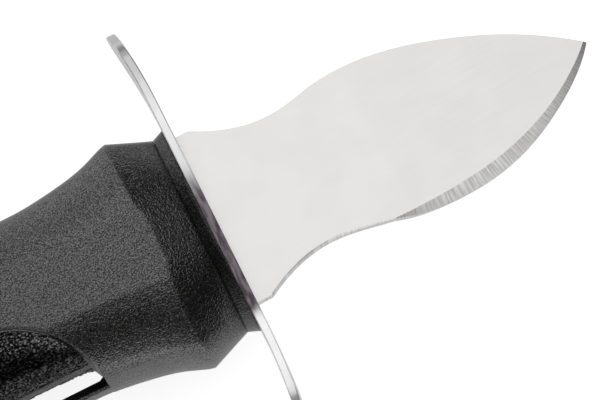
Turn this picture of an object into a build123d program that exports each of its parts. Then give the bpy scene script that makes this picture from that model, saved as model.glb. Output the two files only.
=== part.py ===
"""Oyster knife: leaf-shaped steel blade, bowed oval finger guard and a moulded black handle.

Millimetres, +Z up. The knife lies on its side as on a table. The origin is on the knife's
axis, where the handle's collar meets the guard. +X points to the blade's tip, -Y is the
ground cutting edge, and the blade lies in the plane Z = 0.
"""

import os
from math import cos, hypot, pi, radians, sin, sqrt, tan

from build123d import *

# Blade, measured from the guard's front face
blade_length = 68.9
blade_back_half = 16.75
blade_root_edge_half = 14.9
blade_thickness = 2.5
tip_thickness = 1.0
taper_start = 30.0
bevel_angle = 20.0
waist_chamfer = 0.25
waist_chamfer_angle = 45.0

# Tang
tang_root_width = 15.0
tang_end_width = 9.0
tang_end_radius = 3.0
tang_butt_distance = 28.0
tang_hole_diameter = 5.0
tang_hole_count = 3
tang_hole_front = 16.0
tang_hole_rear = 12.0

# Guard
guard_span = 75.6
guard_width = 25.4
guard_thickness = 1.5
guard_flat = 43.0
guard_bow_radius = 92.0
guard_end_radius = 9.0
guard_rim_radius = 0.2
tang_clearance = 0.15

# Handle
handle_length = 100.0
handle_thickness = 26.0
collar_length = 2.1
collar_half_width = 18.7
collar_half_thickness = 12.2
groove_half_width = 17.95
groove_half_thickness = 11.2
ridge_distance = 9.5
ridge_half_width = 20.75
shoulder_drop = 5.0
side_crown = 1.6
front_corner_radius = 4.0
rear_corner_radius = 6.0
collar_corner_radius = 3.0
butt_radius = 4.5
front_offset = 0.15
flat_trim = 0.25

# Grip recess, slot and rib on the lower half of each face
recess_end_radius = 16.4
recess_top_offset = 1.5
recess_front = 26.4
recess_butt_distance = 13.4
recess_step = 0.8
insert_tang_cover = 0.45
insert_margin = 0.25
slot_inner_offset = 11.55
slot_width = 3.0
slot_front = 26.4
slot_point_offset = 13.75
slot_point_width = 0.2
slot_point_margin = 0.15
rib_half_height = 2.2
rib_land = 0.65

# One overrun serves every cut
overrun = 5.0

# The blade's outline as shares of its length along, and of its back's half-width across
back_waist_shares = [(0.035, 1.0), (0.094, 0.883), (0.217, 0.775), (0.308, 0.822), (0.344, 0.858)]
back_belly_shares = [(0.344, 0.858), (0.522, 0.864), (0.705, 0.669), (0.856, 0.396), (1.0, 0.0)]
edge_waist_shares = [
    (0.041, -0.883),
    (0.081, -0.798),
    (0.157, -0.687),
    (0.241, -0.653),
    (0.293, -0.675),
    (0.389, -0.748),
]
# Along, across at the edge, and across at the inner line of the ground bevel
edge_belly_shares = [
    (0.389, -0.748, -0.745),
    (0.428, -0.796, -0.747),
    (0.496, -0.837, -0.741),
    (0.559, -0.846, -0.724),
    (0.663, -0.81, -0.669),
    (0.782, -0.656, -0.531),
    (0.849, -0.512, -0.408),
    (0.903, -0.37, -0.278),
    (0.951, -0.215, -0.135),
    (1.0, 0.0, 0.05),
]

# Handle behind the ridge: shares of the way to the butt, of the ridge's half-width, of the way
# from the front corner radius to the rear one, of the handle's thickness and of the front's
# offset toward the cutting edge
grip_shares = [
    (0.0, 1.0, 0.0, 1.0, 1.0),
    (0.023, 0.97, 0.1, 1.0, 1.0),
    (0.067, 0.9, 0.25, 1.0, 0.9),
    (0.106, 0.863, 0.45, 1.0, 0.7),
    (0.167, 0.824, 0.8, 1.0, 0.3),
    (0.233, 0.81, 1.0, 1.0, 0.0),
    (0.31, 0.815, 1.0, 1.0, 0.0),
    (0.389, 0.829, 1.0, 1.0, 0.0),
    (0.467, 0.851, 1.0, 1.0, 0.0),
    (0.545, 0.872, 1.0, 1.0, 0.0),
    (0.623, 0.885, 1.0, 1.0, 0.0),
    (0.7, 0.886, 1.0, 1.0, 0.0),
    (0.778, 0.873, 1.0, 1.0, 0.0),
    (0.84, 0.85, 0.95, 1.0, 0.0),
    (0.893, 0.816, 0.9, 1.0, 0.0),
    (0.94, 0.77, 0.8, 0.985, 0.0),
    (0.975, 0.7, 0.7, 0.94, 0.0),
    (1.0, 0.612, 0.6, 0.86, 0.0),
]

# The handle's flats, as a share of its width
flat_width_share = 0.15

# The grip's section from the slot up to its brow, as shares of the way from the recess's edge to
# the slot and of the edge's height; from the brow it runs straight to the edge
grip_fall_shares = [(1.0, 0.0), (1.0, 0.35), (0.93, 0.56), (0.75, 0.65)]

# Steps of the recess's rounded end, as shares of its quarter turn
recess_turn_shares = [0.245, 0.37, 0.5, 0.65, 0.82, 1.0]
recess_middle_shares = [0.25, 0.5, 0.75]

half_blade = blade_thickness / 2
half_handle = handle_thickness / 2
insert_floor = half_blade + insert_tang_cover
grip_length = handle_length - ridge_distance
blade_tip = guard_thickness + blade_length
tang_length = handle_length - tang_butt_distance
tang_hole_pitch = (tang_length - tang_hole_front - tang_hole_rear) / (tang_hole_count - 1)
recess_centre_y = -recess_top_offset - recess_end_radius
recess_centre_front = -recess_front - recess_end_radius
recess_centre_rear = recess_butt_distance - handle_length + recess_end_radius


def cross_plane(x):
    """The plane square to the knife's axis at x, its own x along Y and its own y along Z."""
    return Plane(origin=(x, 0, 0), x_dir=(0, 1, 0), z_dir=(1, 0, 0))


def blade_point(along_share, across_share):
    return (guard_thickness + along_share * blade_length, across_share * blade_back_half)


def blade_face_height(x):
    """Half the blade's thickness at x: even to the taper's start, then thinner to the tip."""
    start = guard_thickness + taper_start
    share = max(x - start, 0) / (blade_tip - start)
    return half_blade - share * (blade_thickness - tip_thickness) / 2


def interpolate(table, share, column):
    """The table's column at a share of the way along, on straight lines between its rows."""
    for before, after in zip(table, table[1:]):
        if share <= after[0]:
            part_way = (share - before[0]) / (after[0] - before[0])
            return before[column] + part_way * (after[column] - before[column])
    return table[-1][column]


def grip_half_width(x):
    return ridge_half_width * interpolate(grip_shares, (-x - ridge_distance) / grip_length, 1)


# Wedges that grind the cutting edge and break the waist's corner, above the blade's plane
with BuildPart() as bevel_wedge:
    for along, _, inner in edge_belly_shares:
        x, inner_y = blade_point(along, inner)
        top = blade_face_height(x)
        with BuildSketch(cross_plane(x)):
            with BuildLine():
                Polyline(
                    (inner_y, top),
                    (inner_y - overrun, top - overrun * tan(radians(bevel_angle))),
                    (inner_y - overrun, top + overrun),
                    (inner_y, top + overrun),
                    close=True,
                )
            make_face()
    loft()

with BuildPart() as waist_wedge:
    for along, across in edge_waist_shares:
        x, edge_y = blade_point(along, across)
        inner_y = edge_y + waist_chamfer
        with BuildSketch(cross_plane(x)):
            with BuildLine():
                Polyline(
                    (inner_y, half_blade),
                    (inner_y - overrun, half_blade - overrun * tan(radians(waist_chamfer_angle))),
                    (inner_y - overrun, half_blade + overrun),
                    (inner_y, half_blade + overrun),
                    close=True,
                )
            make_face()
    loft()

# Blade and tang, one forging
with BuildPart() as blade:
    root_back = (guard_thickness, blade_back_half)
    root_edge = (guard_thickness, -blade_root_edge_half)
    waist_back = [blade_point(*share) for share in back_waist_shares]
    belly_back = [blade_point(*share) for share in back_belly_shares]
    waist_edge = [blade_point(*share) for share in edge_waist_shares]
    belly_edge = [blade_point(along, across) for along, across, _ in edge_belly_shares]
    with BuildSketch():
        with BuildLine():
            Polyline(waist_edge[0], root_edge, root_back, waist_back[0])
            Spline(*waist_back)
            Spline(*belly_back)
            Spline(*belly_edge)
            Spline(*waist_edge)
        make_face()
    extrude(amount=half_blade, both=True)

    # Distal taper, the same on both faces
    with BuildSketch(Plane.XZ):
        taper_x = guard_thickness + taper_start
        end_x = blade_tip + overrun
        with BuildLine():
            Polyline(
                (taper_x, half_blade),
                (end_x, blade_face_height(end_x)),
                (end_x, half_blade + overrun),
                (taper_x, half_blade + overrun),
                close=True,
            )
        make_face()
        mirror(about=Plane.XY)
    extrude(amount=2 * blade_back_half, both=True, mode=Mode.SUBTRACT)

    for wedge in (bevel_wedge, waist_wedge):
        add(wedge.part, mode=Mode.SUBTRACT)
        add(mirror(wedge.part, about=Plane.XY, mode=Mode.PRIVATE), mode=Mode.SUBTRACT)

    # Tang through the guard and the collar, keyed in the handle by its holes
    with BuildSketch():
        with BuildLine():
            Polyline(
                (guard_thickness, tang_root_width / 2),
                (guard_thickness, -tang_root_width / 2),
                (-tang_length, -tang_end_width / 2),
                (-tang_length, tang_end_width / 2),
                close=True,
            )
        make_face()
        fillet(vertices().sort_by(Axis.X)[:2], radius=tang_end_radius)
        for index in range(tang_hole_count):
            with Locations((-tang_hole_front - index * tang_hole_pitch, 0)):
                Circle(radius=tang_hole_diameter / 2, mode=Mode.SUBTRACT)
    extrude(amount=half_blade, both=True)


def bow_points(radius, x):
    """Start, middle and end of one face's bow, swept back from where the flat ends at x."""
    flat_half = guard_flat / 2
    reach = guard_span / 2 + overrun - flat_half
    return [
        (x - radius + sqrt(radius**2 - run**2), flat_half + run) for run in (0, reach / 2, reach)
    ]


# Guard: a flat centre and ends swept back, cut to a long oval
with BuildPart() as guard:
    with BuildSketch():
        with BuildLine():
            front_bow = ThreePointArc(*bow_points(guard_bow_radius, guard_thickness))
            back_bow = ThreePointArc(*bow_points(guard_bow_radius - guard_thickness, 0))
            Line(front_bow @ 0, (guard_thickness, 0))
            Line(back_bow @ 0, (0, 0))
            Line(front_bow @ 1, back_bow @ 1)
            mirror(about=Plane.XZ)
        make_face()
    extrude(amount=guard_width, both=True)

    # The oval: two round ends joined by long tangent arcs
    end_centre = guard_span / 2 - guard_end_radius
    side_rise = guard_width / 2 - guard_end_radius
    side_centre = (end_centre**2 - side_rise**2) / (2 * side_rise)
    lean = hypot(end_centre, side_centre)
    touch_y = end_centre + guard_end_radius * end_centre / lean
    touch_z = guard_end_radius * side_centre / lean
    with BuildSketch(cross_plane(-overrun)):
        with BuildLine():
            ThreePointArc((-touch_y, touch_z), (0, guard_width / 2), (touch_y, touch_z))
            ThreePointArc((touch_y, touch_z), (guard_span / 2, 0), (touch_y, -touch_z))
            ThreePointArc((touch_y, -touch_z), (0, -guard_width / 2), (-touch_y, -touch_z))
            ThreePointArc((-touch_y, -touch_z), (-guard_span / 2, 0), (-touch_y, touch_z))
        make_face()
    extrude(amount=2 * overrun + guard_thickness, mode=Mode.INTERSECT)
    fillet(guard.edges().filter_by(GeomType.LINE, reverse=True), radius=guard_rim_radius)
    with BuildSketch(cross_plane(-overrun)):
        Rectangle(tang_root_width + 2 * tang_clearance, blade_thickness + 2 * tang_clearance)
    extrude(amount=2 * overrun + guard_thickness, mode=Mode.SUBTRACT)


def handle_section(x, half_width, half_thickness, corner_radius, offset):
    """A handle section at x: crowned sides, flats above and below, arced shoulders between."""
    corner_z = half_thickness - shoulder_drop
    corner_y = half_width - side_crown
    flat_half = half_width * flat_width_share
    with BuildSketch(Plane(origin=(x, -offset, 0), x_dir=(0, 1, 0), z_dir=(1, 0, 0))) as section:
        with BuildLine():
            for side in (1, -1):
                ThreePointArc(
                    (side * corner_y, -corner_z), (side * half_width, 0), (side * corner_y, corner_z)
                )
                Line((-flat_half, side * half_thickness), (flat_half, side * half_thickness))
                for up in (1, -1):
                    TangentArc(
                        (side * flat_half, up * half_thickness),
                        (side * corner_y, up * corner_z),
                        tangent=(side, 0),
                    )
        make_face()
        corners = section.vertices().filter_by_position(
            Axis.Y, -corner_z - flat_trim, corner_z + flat_trim
        )
        fillet(corners, radius=corner_radius)
    return section.sketch


collar_front = handle_section(
    0, collar_half_width, collar_half_thickness, collar_corner_radius, front_offset
)
groove = handle_section(
    -collar_length, groove_half_width, groove_half_thickness, collar_corner_radius, front_offset
)
grip_sections = [
    handle_section(
        -ridge_distance - along * grip_length,
        across * ridge_half_width,
        thickness * (half_handle + flat_trim),
        front_corner_radius + rounding * (rear_corner_radius - front_corner_radius),
        offset * front_offset,
    )
    for along, across, rounding, thickness, offset in grip_shares
]

# Collar that the guard sits on, with the V-groove behind it
with BuildPart() as collar:
    loft([collar_front, groove], ruled=True)
    add(blade.part, mode=Mode.SUBTRACT)


def shoulder_height(x, y):
    """Height of the handle's upper face at a place, without the rounding of its corner."""
    flat_half = grip_half_width(x) * flat_width_share
    run = grip_half_width(x) - side_crown - flat_half
    radius = (run**2 + shoulder_drop**2) / (2 * shoulder_drop)
    return half_handle - radius + sqrt(radius**2 - max(-y - flat_half, 0) ** 2)


def recess_station(x, edge_y, inner_y, outer_y):
    """Where the recess's section at x has its upper edge, its slot and the rib's land."""
    return {
        "x": x,
        "edge": (edge_y, shoulder_height(x, edge_y) - recess_step),
        "inner": (inner_y, 0),
        "outer": (outer_y, 0),
        "land": (rib_land - grip_half_width(x), rib_half_height),
    }


def recess_curve(station):
    """The grip's surface in one section, drawn from the slot up to the recess's edge."""
    edge_y, edge_z = station["edge"]
    inner_y = station["inner"][0]
    fall = [
        (edge_y + across * (inner_y - edge_y), height * edge_z)
        for across, height in grip_fall_shares
    ]
    Bezier(*fall)
    Line(fall[-1], station["edge"])


def recess_section(station):
    """What is cut away above the grip's surface, the slot and the rib."""
    edge_y = station["edge"][0]
    top = half_handle + overrun
    outside = -ridge_half_width - overrun
    with BuildSketch(cross_plane(station["x"])) as section:
        with BuildLine():
            recess_curve(station)
            Polyline(
                station["edge"],
                (edge_y, top),
                (outside, top),
                (outside, station["land"][1]),
                station["land"],
                station["outer"],
                station["inner"],
            )
        make_face()
    return section.sketch


slot_inner = -slot_inner_offset
slot_outer = -slot_inner_offset - slot_width
slot_point = slot_point_width / 2 - slot_point_offset
slot_reach = recess_end_radius + recess_front - slot_front


def end_stations(centre_x, turn):
    """Sections round one end of the recess, from the slot's point to the straight middle."""
    stations = [
        recess_station(
            centre_x + turn * slot_reach,
            slot_point + slot_point_margin,
            slot_point,
            slot_point - slot_point_width,
        )
    ]
    for share in recess_turn_shares:
        angle = share * pi / 2
        stations.append(
            recess_station(
                centre_x + turn * recess_end_radius * cos(angle),
                recess_centre_y + recess_end_radius * sin(angle),
                slot_inner,
                slot_outer,
            )
        )
    return stations


front_stations = end_stations(recess_centre_front, 1)
rear_stations = end_stations(recess_centre_rear, -1)[::-1]
middle_stations = [
    recess_station(
        recess_centre_front + share * (recess_centre_rear - recess_centre_front),
        -recess_top_offset,
        slot_inner,
        slot_outer,
    )
    for share in recess_middle_shares
]
turned_stations = front_stations[1:] + middle_stations + rear_stations[:-1]

# Space over the grip, open to the slot, above the knife's middle plane
with BuildPart() as recess_space:
    loft([recess_section(station) for station in front_stations[:2]], ruled=True)
    loft([recess_section(station) for station in turned_stations])
    loft([recess_section(station) for station in rear_stations[-2:]], ruled=True)

# Seat of the textured insert: the recess's outline set in, down to the insert's floor
with BuildPart() as insert_seat:
    with BuildSketch(Plane.XY.offset(insert_floor)):
        with Locations(((recess_centre_front + recess_centre_rear) / 2, recess_centre_y)):
            SlotCenterToCenter(
                recess_centre_front - recess_centre_rear,
                2 * (recess_end_radius - insert_margin),
            )
        with Locations((-handle_length / 2, slot_outer)):
            Rectangle(
                handle_length,
                handle_thickness,
                align=(Align.CENTER, Align.MIN),
                mode=Mode.INTERSECT,
            )
    extrude(amount=half_handle - insert_floor)

# Textured grip inserts, bonded in their seats on both faces
with BuildPart() as grip_insert_front:
    add(insert_seat.part)
    add(recess_space.part, mode=Mode.SUBTRACT)

with BuildPart() as grip_insert_back:
    add(mirror(grip_insert_front.part, about=Plane.XY, mode=Mode.PRIVATE))

# Handle body with its rib, moulded over the tang
with BuildPart() as handle:
    loft(grip_sections)
    butt_edges = handle.edges().group_by(Axis.X)[0]
    fillet(butt_edges, radius=butt_radius)
    loft([groove, grip_sections[0]], ruled=True)
    with BuildSketch(Plane.XZ):
        with Locations((-handle_length / 2, 0)):
            Rectangle(2 * handle_length, handle_thickness)
    extrude(amount=2 * ridge_half_width, both=True, mode=Mode.INTERSECT)
    add(recess_space.part, mode=Mode.SUBTRACT)
    add(mirror(recess_space.part, about=Plane.XY, mode=Mode.PRIVATE), mode=Mode.SUBTRACT)
    add(insert_seat.part, mode=Mode.SUBTRACT)
    add(mirror(insert_seat.part, about=Plane.XY, mode=Mode.PRIVATE), mode=Mode.SUBTRACT)
    add(blade.part, mode=Mode.SUBTRACT)

os.makedirs("parts", exist_ok=True)
pieces = {
    "blade": blade,
    "guard": guard,
    "front_collar": collar,
    "handle_body": handle,
    "grip_insert_front": grip_insert_front,
    "grip_insert_back": grip_insert_back,
}
for name, piece in pieces.items():
    piece.part.label = name
    export_step(piece.part, f"parts/{name}.step")
    print(name, round(piece.part.volume, 2), piece.part.is_valid)
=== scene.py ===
"""Oyster knife on a white table: finishes, soft studio light and the photograph's camera.

Metres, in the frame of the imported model: +X to the blade's tip, -Y the ground edge, +Z up.
Sizes and places are named in millimetres and turned into metres by MM where they are used.
"""

from math import cos, pi, radians

import bpy
from mathutils import Matrix, Vector, noise


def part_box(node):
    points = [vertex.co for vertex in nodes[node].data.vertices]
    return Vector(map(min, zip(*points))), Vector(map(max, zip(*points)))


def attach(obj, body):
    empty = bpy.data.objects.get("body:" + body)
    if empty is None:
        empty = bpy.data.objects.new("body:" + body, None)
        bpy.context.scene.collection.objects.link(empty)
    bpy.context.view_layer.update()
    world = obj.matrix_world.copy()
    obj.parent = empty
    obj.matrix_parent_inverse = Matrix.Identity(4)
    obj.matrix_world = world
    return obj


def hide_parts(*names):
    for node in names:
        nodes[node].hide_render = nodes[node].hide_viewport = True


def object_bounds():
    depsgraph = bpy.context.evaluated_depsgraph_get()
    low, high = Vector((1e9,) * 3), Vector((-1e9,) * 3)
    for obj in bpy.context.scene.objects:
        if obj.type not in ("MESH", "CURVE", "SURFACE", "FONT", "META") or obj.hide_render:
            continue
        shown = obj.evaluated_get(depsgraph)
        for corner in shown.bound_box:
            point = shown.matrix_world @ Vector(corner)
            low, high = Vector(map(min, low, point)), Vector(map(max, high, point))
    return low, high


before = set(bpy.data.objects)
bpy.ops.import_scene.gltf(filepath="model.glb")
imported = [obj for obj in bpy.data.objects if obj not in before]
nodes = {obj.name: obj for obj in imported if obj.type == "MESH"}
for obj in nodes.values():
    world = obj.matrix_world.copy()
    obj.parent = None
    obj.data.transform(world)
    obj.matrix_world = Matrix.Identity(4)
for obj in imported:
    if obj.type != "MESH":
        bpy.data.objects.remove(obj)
cad_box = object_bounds()

MM = 0.001
PER_METRE = 1 / MM

# The photograph's frame, and where it shows the knife's axis at the guard
PHOTO_WIDTH = 600
PHOTO_HEIGHT = 400
AXIS_AT_GUARD_PX = (211, 230)
PX_PER_MM = 5.986
BLADE_ANGLE = radians(26.5)

# The camera's distance in metres, the direction that it stands in, and how many times nearer
# and farther than the knife it still sees
CAMERA_DISTANCE = 0.5
CAMERA_LEAN = Vector((-0.035, -0.23, 1))
CLIP_TIMES = 10

# Floor: half its side in metres, its own colour, and what lifts it to white where nothing
# shades it, as the camera sees it and as steel mirrors it
FLOOR_HALF = 1.5
FLOOR_COLOR = 0.86
FLOOR_LIFT = 0.84
MIRRORED_LIFT = 0.45

# The studio round the knife: a dim room, a white horizon as of a wide white table, and soft
# lamps. Each lamp has a direction, the half-angles where it ends and is full, and its strength.
ROOM_LEVEL = 0.02
HORIZON_LEVEL = 1.0
HORIZON_TOP = 0.35
LAMPS = [
    ((-0.06, 0.3, 1.0), radians(37), radians(4), 0.97),
    ((-0.1, 0.72, 0.66), radians(25), radians(8), 0.65),
    ((-0.45, 0.88, 0.1), radians(32), radians(12), 0.7),
    ((-0.3, -0.93, 0.2), radians(35), radians(5), 0.8),
]

# Soft panels, each shaded from all but one node: its place, what it faces, the direction of its
# length, its size and its level. One is off the cutting edge, where the ground bevel mirrors it,
# and three stand over, before and behind the guard.
PANELS = {
    "edge_panel": ("blade", (105, -45, 126), (50, -8, 0), (0.83, 0.56, -0.13), (160, 80), 1.0),
    "over_guard": ("guard", (0, -150, 300), (0, -30, 0), (1, 0, 0), (240, 210), 1.1),
    "before_guard": ("guard", (330, 0, 215), (0, 0, 10), (0, 1, 0), (400, 400), 0.7),
    "behind_guard": ("guard", (-330, 0, 215), (0, 0, 10), (0, 1, 0), (400, 400), 0.7),
}

# A noise is named by its pitch in millimetres and its detail, and a grey by its level and its
# warmth. A ramp over a noise runs over most of its values or only over their middle.
MOST = (0.3, 0.7)
MIDDLE = (0.35, 0.65)

# Sockets by which the Mix node takes and gives colours
FIRST_COLOR = 6
SECOND_COLOR = 7
MIXED_COLOR = 2

# Both plastics: refraction, and pebbles with the fine grain on them
PLASTIC_IOR = 1.9
PEBBLE_PITCH = 0.6
PEBBLE_DEPTH = 0.12
FINE_ON_PEBBLE = 0.25

# Moulded plastic: the grain of its mould and how far round its creases the light runs softly
MOULD_FINE = (0.3, 1.0)
MOULD_COARSE = (0.9, 1.0)
MOULD_SPARKLE = (0.24, 1.0)
MOULD_BROAD = (14.0, 3.0)
COARSE_SHARE = 0.4
MOULD_DEPTH = 0.11
MOULD_SHINE = (0.25, 0.95)
MOULD_ROUGHNESS = (0.24, 0.29)
MOULD_GREYS = ((0.003, 0.1), (0.01, 0.1))
SOFT_EDGE = 0.8
SOFT_SAMPLES = 6

# The collar's shine is lowered as painted shade: where this sets in along X, and its share of the
# shine
COLLAR_SHADE_FADE = (-4.5, -1.5)
COLLAR_SHADED_SHINE = 0.5

# Where the handle body's own surface lies inside the recess, how steep it is there, and its share
# of the shine, lowered there as painted shade
RECESS_FRONT = 26.3
RECESS_BACK = 86.7
RECESS_TOP = 1.5
RECESS_LOW = 14.7
WALL_TILT = 0.6
RECESS_SHADED_SHINE = 0.1

# Coarse leather grain of the grip inserts: its mesh, its pebbles, the reach of the grooves
# between them, a slow swell on them, and the pebble height that stays on the solid's surface
GRAIN_VOXEL = 0.18
GRAIN_PITCH = 0.62
GRAIN_STRETCH = 1.25
GRAIN_HEIGHT = 0.22
GROOVE_REACH = 0.6
SWELL_PITCHES = 2
SWELL_SHARE = 0.35
LEVEL_HEIGHT = 0.8

# How soon the grain reaches its full height as a face turns outward, how far a face may turn
# away and still count as open, and what fills the gap between an insert and its seat
OPEN_GAIN = 1.5
OPEN_LIMIT = -0.2
INSERT_FILL = 0.25

# Grip material: a painted highlight strongest on the crown and less at the foot, with painted
# shade between them, by heights on Z
GRIP_FINE = (0.25, 2.0)
GRIP_BROAD = (6.0, 3.0)
GRIP_GLINT = (0.4, 1.0)
GLINT_VALUES = (0.42, 0.66)
GLINT_SHINE = (0.05, 1.0)
CROWN_HEIGHTS = (8.5, 10.5)
FOOT_HEIGHTS = (6.5, 8.5)
FOOT_SHINE = 0.5
LEAST_SHINE = 0.12
GRIP_ROUGHNESS = (0.18, 0.24)
GRIP_GREYS = ((0.001, 0), (0.004, 0))

# Blade: how level its flats are. The ground edge is nearly an arc round BELLY_CENTRE, and the
# grinding marks stand across it, so many to a millimetre along the arc and few across.
FLAT_TILT = (0.955, 0.985)
BELLY_CENTRE = (38.9, 25.9, 0)
BELLY_RADIUS = 40
MARKS_ALONG = 3.6
MARKS_ACROSS = 0.25
MARK_NOISE = (1.0, 3.0)
MARK_DEPTH = 0.012
SATIN_STRETCH = (0.12, 4, 4)
SATIN_NOISE = (1.0, 2.0)
SMUDGE_NOISE = (9.0, 3.0)
FLAT_ROUGHNESS = (0.16, 0.2)
GROUND_ROUGHNESS = (0.36, 0.28)
FLAT_GREYS = ((0.79, 0.012), (0.81, 0.01))
GROUND_GREYS = ((0.6, 0.01), (0.82, 0.01))

# Guard: the stretch of its rim along Y where a dark reflection is painted into its colour, with
# edges that wander with the haze, and where painted shade makes its ends a little greyer
GUARD_HAZE = (5.0, 3.0)
HAZE_WANDER = 4.0
PAINTED_REFLECTION_STARTS = (-17.5, -14.5)
PAINTED_REFLECTION_ENDS = (4, 12)
PAINTED_SHADE_END_STARTS = (24, 30)
RIM_TILT = (0.3, 0.8)
HAZE_GREYS = ((0.7, -0.004), (0.78, 0))
PAINTED_SHADE_END_GREY = (0.6, 0)
# The streaked colours of the painted dark reflection on the rim
PAINTED_REFLECTION_STREAKS = ((0.07, 0.06, 0.07, 1), (0.2, 0.18, 0.195, 1))
STREAK_STRETCH = (1.6, 0.3, 1.0)
HAIRLINE_STRETCH = (5, 0.4, 1.5)
LINE_NOISE = (1.0, 2.0)
HAIRLINE_DEPTH = 0.0025
GUARD_ROUGHNESS = (0.22, 0.3)


def make_camera():
    """A long lens nearly overhead, leaning to the cutting edge's side."""
    back = CAMERA_LEAN.normalized()
    along = Vector((1, 0, 0))
    along = (along - back * along.dot(back)).normalized()
    across = back.cross(along)
    turn = Matrix.Rotation(-BLADE_ANGLE, 3, back)
    right, up = turn @ along, turn @ across
    metres_per_px = MM / PX_PER_MM
    aside = PHOTO_WIDTH / 2 - AXIS_AT_GUARD_PX[0]
    upward = AXIS_AT_GUARD_PX[1] - PHOTO_HEIGHT / 2
    target = (right * aside + up * upward) * metres_per_px
    target -= back * (target.z / back.z)
    data = bpy.data.cameras.new("camera")
    data.lens = data.sensor_width * CAMERA_DISTANCE / (PHOTO_WIDTH * metres_per_px)
    data.clip_start = CAMERA_DISTANCE / CLIP_TIMES
    data.clip_end = CAMERA_DISTANCE * CLIP_TIMES
    camera = bpy.data.objects.new("camera", data)
    bpy.context.scene.collection.objects.link(camera)
    rotation = Matrix((right, up, back)).transposed().to_4x4()
    camera.matrix_world = Matrix.Translation(target + back * CAMERA_DISTANCE) @ rotation
    bpy.context.scene.camera = camera


def add_node(tree, kind, inputs=None, **settings):
    """A shader node with its settings made, its sockets filled or linked."""
    node = tree.nodes.new(kind)
    for name, value in settings.items():
        setattr(node, name, value)
    for name, value in (inputs or {}).items():
        if isinstance(value, bpy.types.NodeSocket):
            tree.links.new(value, node.inputs[name])
        else:
            node.inputs[name].default_value = value
    return node


def math(tree, operation, first, second=0.0):
    """The result of one operation on one or two numbers."""
    return add_node(tree, "ShaderNodeMath", {0: first, 1: second}, operation=operation).outputs[0]


def vector_math(tree, operation, first, second=(0, 0, 0)):
    """The outputs of one operation on one or two vectors."""
    return add_node(
        tree, "ShaderNodeVectorMath", {0: first, 1: second}, operation=operation
    ).outputs


def parts_of(tree, vector):
    return add_node(tree, "ShaderNodeSeparateXYZ", {0: vector}).outputs


def remap(tree, value, low, high, to_low, to_high):
    """A smooth ramp from to_low at low to to_high at high."""
    inputs = {
        "Value": value,
        "From Min": low,
        "From Max": high,
        "To Min": to_low,
        "To Max": to_high,
    }
    return add_node(
        tree, "ShaderNodeMapRange", inputs, interpolation_type="SMOOTHSTEP"
    ).outputs["Result"]


def grey(level, warmth=0.0):
    return (level * (1 + warmth), level, level * (1 - warmth), 1)


def mix_color(tree, factor, first, second):
    inputs = {"Factor": factor, FIRST_COLOR: first, SECOND_COLOR: second}
    return add_node(tree, "ShaderNodeMix", inputs, data_type="RGBA").outputs[MIXED_COLOR]


def mix_greys(tree, factor, first, second):
    return mix_color(tree, factor, grey(*first), grey(*second))


def place_in_mm(tree, stretch=(1, 1, 1)):
    """The place on the object in millimetres, stretched along its axes."""
    coordinates = add_node(tree, "ShaderNodeTexCoord")
    scale = [PER_METRE * share for share in stretch]
    return vector_math(tree, "MULTIPLY", coordinates.outputs["Object"], scale)[0]


def levelness(tree):
    """One where the surface faces straight up or down, and zero where it is upright."""
    coordinates = add_node(tree, "ShaderNodeTexCoord")
    return math(tree, "ABSOLUTE", parts_of(tree, coordinates.outputs["Normal"])["Z"])


def noise_of(tree, place, pitch, detail):
    """Noise whose patches are about pitch millimetres across."""
    inputs = {"Vector": place, "Scale": 1 / pitch, "Detail": detail}
    return add_node(tree, "ShaderNodeTexNoise", inputs).outputs["Fac"]


def bump_of(tree, height, depth, normal=None):
    """A bump of the given depth in millimetres."""
    inputs = {"Height": height, "Distance": depth * MM}
    if normal is not None:
        inputs["Normal"] = normal
    return add_node(tree, "ShaderNodeBump", inputs).outputs["Normal"]


def new_material(name):
    material = bpy.data.materials.new(name)
    material.use_nodes = True
    material.node_tree.nodes.clear()
    return material, material.node_tree


def finish_surface(tree, inputs):
    shader = add_node(tree, "ShaderNodeBsdfPrincipled", inputs)
    add_node(tree, "ShaderNodeOutputMaterial", {"Surface": shader.outputs[0]})


def pebble_relief(tree, place, fine):
    """Rounded pebbles with the fine grain on them."""
    inputs = {"Vector": place, "Scale": 1 / PEBBLE_PITCH}
    reach = add_node(tree, "ShaderNodeTexVoronoi", inputs, feature="F1").outputs["Distance"]
    rounded = math(tree, "SUBTRACT", 1, math(tree, "MULTIPLY", reach, reach))
    return math(tree, "ADD", rounded, math(tree, "MULTIPLY", fine, FINE_ON_PEBBLE))


def inside_recess(tree, parts):
    """One on the handle body's steep walls round the inserts and along the slot, else zero."""
    within = math(tree, "LESS_THAN", levelness(tree), WALL_TILT)
    sides = (
        ("LESS_THAN", "X", RECESS_FRONT),
        ("GREATER_THAN", "X", RECESS_BACK),
        ("LESS_THAN", "Y", RECESS_TOP),
        ("GREATER_THAN", "Y", RECESS_LOW),
    )
    for operation, axis, offset in sides:
        side = math(tree, operation, parts[axis], -offset)
        within = math(tree, "MULTIPLY", within, side)
    return within


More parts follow.
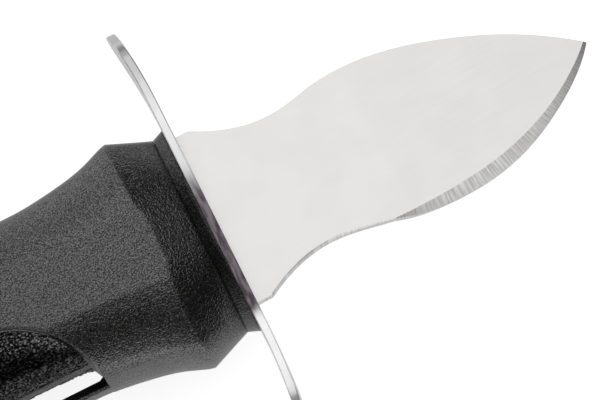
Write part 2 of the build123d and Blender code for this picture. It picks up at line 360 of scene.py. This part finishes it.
def make_moulded_black():
    """Black plastic with the fine irregular grain of its mould, and painted shade that lowers its
    shine on the collar and on the recess walls.
    """
    material, tree = new_material("moulded_black")
    place = place_in_mm(tree)
    parts = parts_of(tree, place)
    fine = noise_of(tree, place, *MOULD_FINE)
    coarse = noise_of(tree, place, *MOULD_COARSE)
    sparkle = noise_of(tree, place, *MOULD_SPARKLE)
    broad = noise_of(tree, place, *MOULD_BROAD)
    recessed = inside_recess(tree, parts)
    height = math(tree, "ADD", fine, math(tree, "MULTIPLY", coarse, COARSE_SHARE))
    pebbled = math(tree, "MULTIPLY", pebble_relief(tree, place, fine), recessed)
    soft = add_node(tree, "ShaderNodeBevel", {"Radius": SOFT_EDGE * MM}, samples=SOFT_SAMPLES)
    normal = bump_of(tree, height, MOULD_DEPTH, soft.outputs["Normal"])
    normal = bump_of(tree, pebbled, PEBBLE_DEPTH, normal)
    shine = remap(tree, sparkle, *MIDDLE, *MOULD_SHINE)
    # Painted shade: the shine is lowered on the recess walls
    shine = math(tree, "MULTIPLY", shine, remap(tree, recessed, 0, 1, 1, RECESS_SHADED_SHINE))
    # Painted shade: the shine fades out towards the collar
    painted_collar_shade = remap(tree, parts["X"], *COLLAR_SHADE_FADE, 1, COLLAR_SHADED_SHINE)
    inputs = {
        "Base Color": mix_greys(tree, remap(tree, fine, *MOST, 0, 1), *MOULD_GREYS),
        "Roughness": remap(tree, broad, *MOST, *MOULD_ROUGHNESS),
        "IOR": PLASTIC_IOR,
        "Specular IOR Level": math(tree, "MULTIPLY", shine, painted_collar_shade),
        "Normal": normal,
    }
    finish_surface(tree, inputs)
    return material


def make_grip_grain():
    """Softer black of the grip inserts, with a painted highlight on the crown and foot and
    painted shade between; their coarse grain is in the mesh.
    """
    material, tree = new_material("grip_grain")
    place = place_in_mm(tree)
    fine = noise_of(tree, place, *GRIP_FINE)
    broad = noise_of(tree, place, *GRIP_BROAD)
    glint = remap(tree, noise_of(tree, place, *GRIP_GLINT), *GLINT_VALUES, *GLINT_SHINE)
    height = math(tree, "ABSOLUTE", parts_of(tree, place)["Z"])
    # Painted highlight on the crown and foot, painted shade in the middle, by height
    crown_highlight = remap(tree, height, *CROWN_HEIGHTS, 0, 1)
    foot_highlight = remap(tree, height, *FOOT_HEIGHTS, FOOT_SHINE, 0)
    shine = math(tree, "MAXIMUM", math(tree, "MAXIMUM", crown_highlight, foot_highlight), LEAST_SHINE)
    inputs = {
        "Base Color": mix_greys(tree, remap(tree, fine, *MOST, 0, 1), *GRIP_GREYS),
        "Roughness": remap(tree, broad, *MOST, *GRIP_ROUGHNESS),
        "IOR": PLASTIC_IOR,
        "Specular IOR Level": math(tree, "MULTIPLY", glint, shine),
        "Normal": bump_of(tree, pebble_relief(tree, place, fine), PEBBLE_DEPTH),
    }
    finish_surface(tree, inputs)
    return material


def grinding_marks(tree, place):
    """Noise drawn out across the cutting edge."""
    from_centre = vector_math(tree, "SUBTRACT", place, BELLY_CENTRE)[0]
    parts = parts_of(tree, from_centre)
    angle = math(tree, "ARCTAN2", parts["Y"], parts["X"])
    round_arc = math(tree, "MULTIPLY", angle, BELLY_RADIUS)
    radius = vector_math(tree, "LENGTH", from_centre)["Value"]
    inputs = {
        "X": math(tree, "MULTIPLY", round_arc, MARKS_ALONG),
        "Y": math(tree, "MULTIPLY", radius, MARKS_ACROSS),
    }
    across = add_node(tree, "ShaderNodeCombineXYZ", inputs).outputs[0]
    return noise_of(tree, across, *MARK_NOISE)


def make_blade_steel():
    """Satin flats and, where the surface tips off them, a cross-ground bevel."""
    material, tree = new_material("blade_steel")
    place = place_in_mm(tree)
    flat = remap(tree, levelness(tree), *FLAT_TILT, 0, 1)
    marks = grinding_marks(tree, place)
    satin = noise_of(tree, place_in_mm(tree, SATIN_STRETCH), *SATIN_NOISE)
    smudge = noise_of(tree, place, *SMUDGE_NOISE)
    flat_color = mix_greys(tree, remap(tree, smudge, *MIDDLE, 0, 1), *FLAT_GREYS)
    ground_color = mix_greys(tree, remap(tree, marks, *MIDDLE, 0, 1), *GROUND_GREYS)
    roughness = {
        "Factor": flat,
        "A": remap(tree, marks, *MOST, *GROUND_ROUGHNESS),
        "B": remap(tree, satin, *MOST, *FLAT_ROUGHNESS),
    }
    relief = math(tree, "MULTIPLY", marks, math(tree, "SUBTRACT", 1, flat))
    inputs = {
        "Base Color": mix_color(tree, flat, ground_color, flat_color),
        "Metallic": 1.0,
        "Roughness": add_node(tree, "ShaderNodeMix", roughness).outputs["Result"],
        "Normal": bump_of(tree, relief, MARK_DEPTH),
    }
    finish_surface(tree, inputs)
    return material


def make_guard_mirror():
    """Polished steel with faint haze and hairline marks, a painted dark reflection on the middle
    of its rim and painted shade at its ends.
    """
    material, tree = new_material("guard_mirror")
    place = place_in_mm(tree)
    haze = noise_of(tree, place, *GUARD_HAZE)
    along = math(
        tree, "ADD", parts_of(tree, place)["Y"], math(tree, "MULTIPLY", haze, HAZE_WANDER)
    )
    # Painted reflection: a dark, streaked band over the middle of the rim
    painted_reflection = math(
        tree,
        "MULTIPLY",
        remap(tree, along, *PAINTED_REFLECTION_STARTS, 0, 1),
        remap(tree, along, *PAINTED_REFLECTION_ENDS, 1, 0),
    )
    painted_reflection = math(tree, "MULTIPLY", painted_reflection, remap(tree, levelness(tree), *RIM_TILT, 0, 1))
    bright = mix_greys(tree, haze, *HAZE_GREYS)
    # Painted shade: the rim's ends are made greyer
    bright = mix_color(tree, remap(tree, along, *PAINTED_SHADE_END_STARTS, 0, 1), bright, grey(*PAINTED_SHADE_END_GREY))
    hairlines = noise_of(tree, place_in_mm(tree, HAIRLINE_STRETCH), *LINE_NOISE)
    streaks = noise_of(tree, place_in_mm(tree, STREAK_STRETCH), *LINE_NOISE)
    painted_reflection_color = mix_color(tree, remap(tree, streaks, *MIDDLE, 0, 1), *PAINTED_REFLECTION_STREAKS)
    inputs = {
        "Base Color": mix_color(tree, painted_reflection, bright, painted_reflection_color),
        "Metallic": 1.0,
        "Roughness": remap(tree, haze, *MOST, *GUARD_ROUGHNESS),
        "Normal": bump_of(tree, hairlines, HAIRLINE_DEPTH),
    }
    finish_surface(tree, inputs)
    return material


def make_world():
    """The dim room, its white horizon and the lamps in it."""
    world = bpy.data.worlds.new("studio")
    bpy.context.scene.world = world
    world.use_nodes = True
    tree = world.node_tree
    tree.nodes.clear()
    direction = add_node(tree, "ShaderNodeTexCoord").outputs["Generated"]
    upward = parts_of(tree, direction)["Z"]
    total = remap(tree, upward, 0, HORIZON_TOP, HORIZON_LEVEL, ROOM_LEVEL)
    for toward, end, full, strength in LAMPS:
        middle = Vector(toward).normalized()
        facing = vector_math(tree, "DOT_PRODUCT", direction, middle)["Value"]
        total = math(tree, "ADD", total, remap(tree, facing, cos(end), cos(full), 0, strength))
    background = add_node(tree, "ShaderNodeBackground", {"Color": grey(1), "Strength": total})
    add_node(tree, "ShaderNodeOutputWorld", {"Surface": background.outputs[0]})


def make_panel(name, lit_node, place, aim, along, size, level):
    """A soft panel of the given radiance for one node, left out of the picture itself."""
    data = bpy.data.lights.new(name, "AREA")
    data.shape = "RECTANGLE"
    data.size, data.size_y = [length * MM for length in size]
    data.energy = level * pi * data.size * data.size_y
    panel = bpy.data.objects.new(name, data)
    place = Vector(place)
    back = (place - Vector(aim)).normalized()
    across = back.cross(Vector(along)).normalized()
    turn = Matrix((across.cross(back), across, back)).transposed().to_4x4()
    panel.matrix_world = Matrix.Translation(place * MM) @ turn
    panel.visible_camera = False
    bpy.context.scene.collection.objects.link(panel)
    lit = bpy.data.collections.new("lit_by_" + name)
    lit.objects.link(nodes[lit_node])
    panel.light_linking.receiver_collection = lit


def make_floor():
    """A wide pale table that the knife lies on, white where nothing shades it."""
    low = cad_box[0].z
    mesh = bpy.data.meshes.new("floor")
    corners = [(x, y, low) for x, y in ((-1, -1), (1, -1), (1, 1), (-1, 1))]
    mesh.from_pydata([(x * FLOOR_HALF, y * FLOOR_HALF, z) for x, y, z in corners], [], [range(4)])
    floor = bpy.data.objects.new("floor", mesh)
    bpy.context.scene.collection.objects.link(floor)
    material, tree = new_material("floor_white")
    paint = add_node(tree, "ShaderNodeBsdfDiffuse", {"Color": grey(FLOOR_COLOR)})
    rays = add_node(tree, "ShaderNodeLightPath").outputs
    direct = math(tree, "MULTIPLY", rays["Is Camera Ray"], FLOOR_LIFT)
    mirrored = math(tree, "MAXIMUM", rays["Is Glossy Ray"], rays["Is Transmission Ray"])
    mirrored = math(tree, "MULTIPLY", mirrored, MIRRORED_LIFT)
    lift = add_node(
        tree, "ShaderNodeEmission", {"Strength": math(tree, "ADD", direct, mirrored)}
    )
    both = add_node(tree, "ShaderNodeAddShader", {0: paint.outputs[0], 1: lift.outputs[0]})
    add_node(tree, "ShaderNodeOutputMaterial", {"Surface": both.outputs[0]})
    mesh.materials.append(material)


def finish_mesh(mesh, material):
    mesh.materials.clear()
    mesh.materials.append(material)


def fine_mesh(piece):
    """The piece's solid as an even mesh, fine enough to carry the grain."""
    remesh = piece.modifiers.new("fine", "REMESH")
    remesh.mode = "VOXEL"
    remesh.voxel_size = GRAIN_VOXEL * MM
    depsgraph = bpy.context.evaluated_depsgraph_get()
    mesh = bpy.data.meshes.new_from_object(piece.evaluated_get(depsgraph))
    piece.modifiers.clear()
    return mesh


def grained_place(vertex, outward):
    """Where the grain puts a vertex: raised on the open face, pushed out against the seat."""
    place = vertex.co * PER_METRE
    normal = vertex.normal
    sample = Vector((place.x / GRAIN_STRETCH, place.y, place.z)) / GRAIN_PITCH
    distances, _ = noise.voronoi(sample)
    pebble = min(distances[1] - distances[0], GROOVE_REACH) / GROOVE_REACH
    pebble += SWELL_SHARE * noise.noise(sample / SWELL_PITCHES)
    facing = max(normal.z * outward, 0) + max(-normal.y, 0)
    share = min(facing * OPEN_GAIN, 1) if normal.z * outward > OPEN_LIMIT else 0
    toward_wall = INSERT_FILL * (1 - abs(normal.z)) if normal.y > OPEN_LIMIT else 0
    aside = Vector((normal.x, normal.y, 0)) * toward_wall
    raised = normal * (pebble - LEVEL_HEIGHT) * share * GRAIN_HEIGHT
    return vertex.co + (raised + aside) * MM


def grained_copy(node_name, piece_name, material):
    """The node's solid, finely meshed, with coarse leather grain raised on its open face."""
    piece = nodes[node_name].copy()
    piece.data = nodes[node_name].data.copy()
    piece.name = piece_name
    piece.data.name = piece_name
    bpy.context.scene.collection.objects.link(piece)
    piece.data = fine_mesh(piece)
    low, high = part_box(node_name)
    outward = 1 if low.z + high.z > 0 else -1
    places = [grained_place(vertex, outward) for vertex in piece.data.vertices]
    for vertex, place in zip(piece.data.vertices, places):
        vertex.co = place
    finish_mesh(piece.data, material)
    piece.data.shade_smooth()
    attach(piece, "root")
    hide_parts(node_name)


black = make_moulded_black()
grip = make_grip_grain()
finish_mesh(nodes["handle_body"].data, black)
finish_mesh(nodes["front_collar"].data, black)
finish_mesh(nodes["blade"].data, make_blade_steel())
finish_mesh(nodes["guard"].data, make_guard_mirror())
grained_copy("grip_insert_front", "grip_grain_front", grip)
grained_copy("grip_insert_back", "grip_grain_back", grip)

make_world()
for panel_name, panel in PANELS.items():
    make_panel(panel_name, *panel)
make_floor()
make_camera()
bpy.context.scene.view_settings.view_transform = "Standard"
